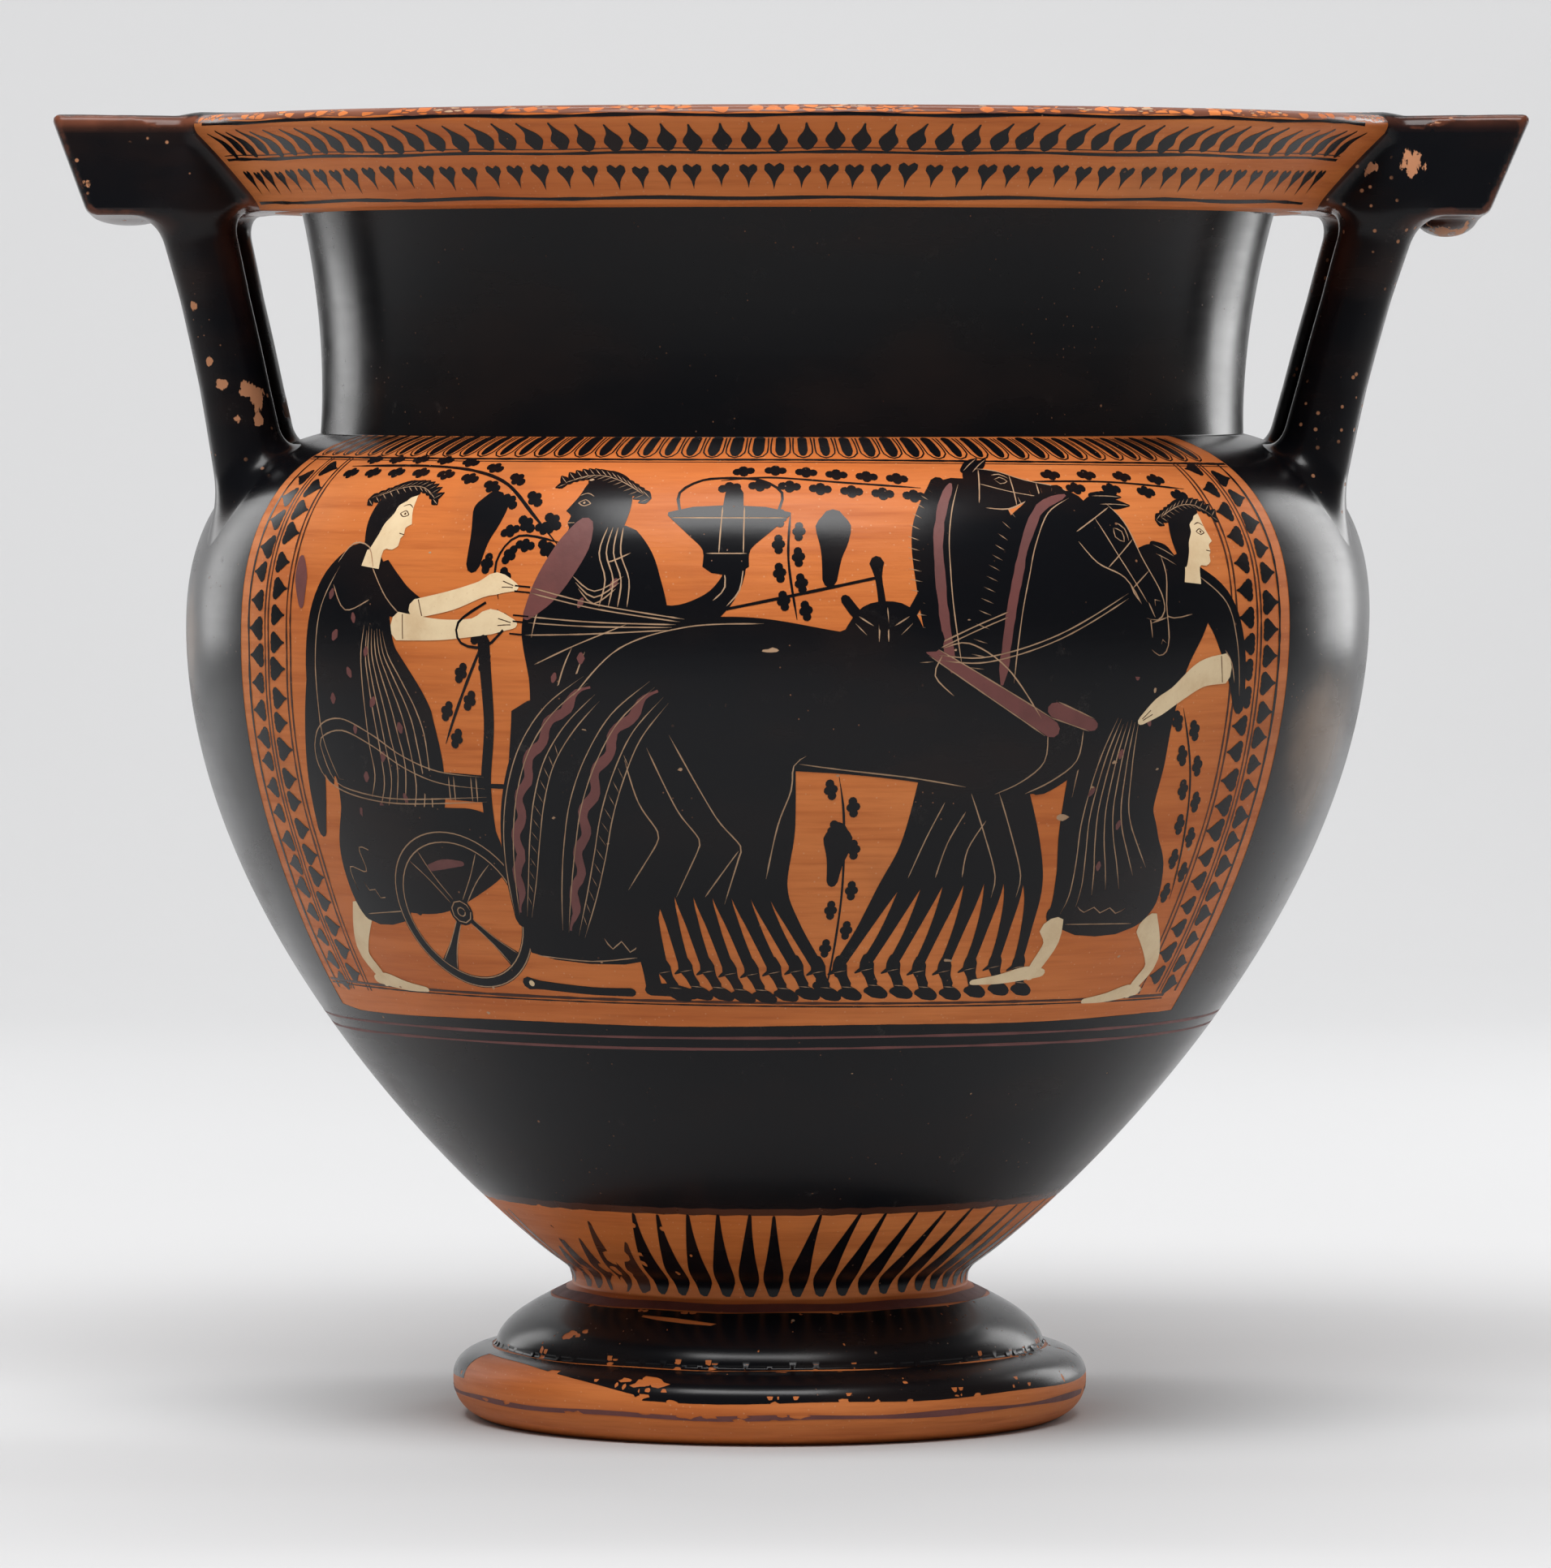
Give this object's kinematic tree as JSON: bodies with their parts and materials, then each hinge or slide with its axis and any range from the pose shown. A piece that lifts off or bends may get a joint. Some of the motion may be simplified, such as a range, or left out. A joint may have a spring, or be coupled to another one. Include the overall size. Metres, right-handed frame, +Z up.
{
  "type": "greek krater",
  "caption": "Two-handled column krater with a painted panel on each side, an open ceramic bowl for mixing wine and water.",
  "frame": {"origin": "on the ground, under the middle of the rim and handle plates", "axes": "+Z up, +X and -X towards the two handles, -Y towards the side with the main picture"},
  "size_m": [0.453, 0.3766, 0.4006],
  "materials": {
    "black_gloss": "black slip fired to a soft gloss, worn to bare clay at edges, with brown and misfired patches",
    "clay": "orange fired clay, burnished to a low sheen on the panel and matt underneath",
    "added_white": "matt cream slip laid over the black",
    "added_red": "matt purple-red slip laid over the black and in thin lines"
  },
  "bodies": {
    "root": {"krater": "black_gloss"}
  },
  "joints": []
}
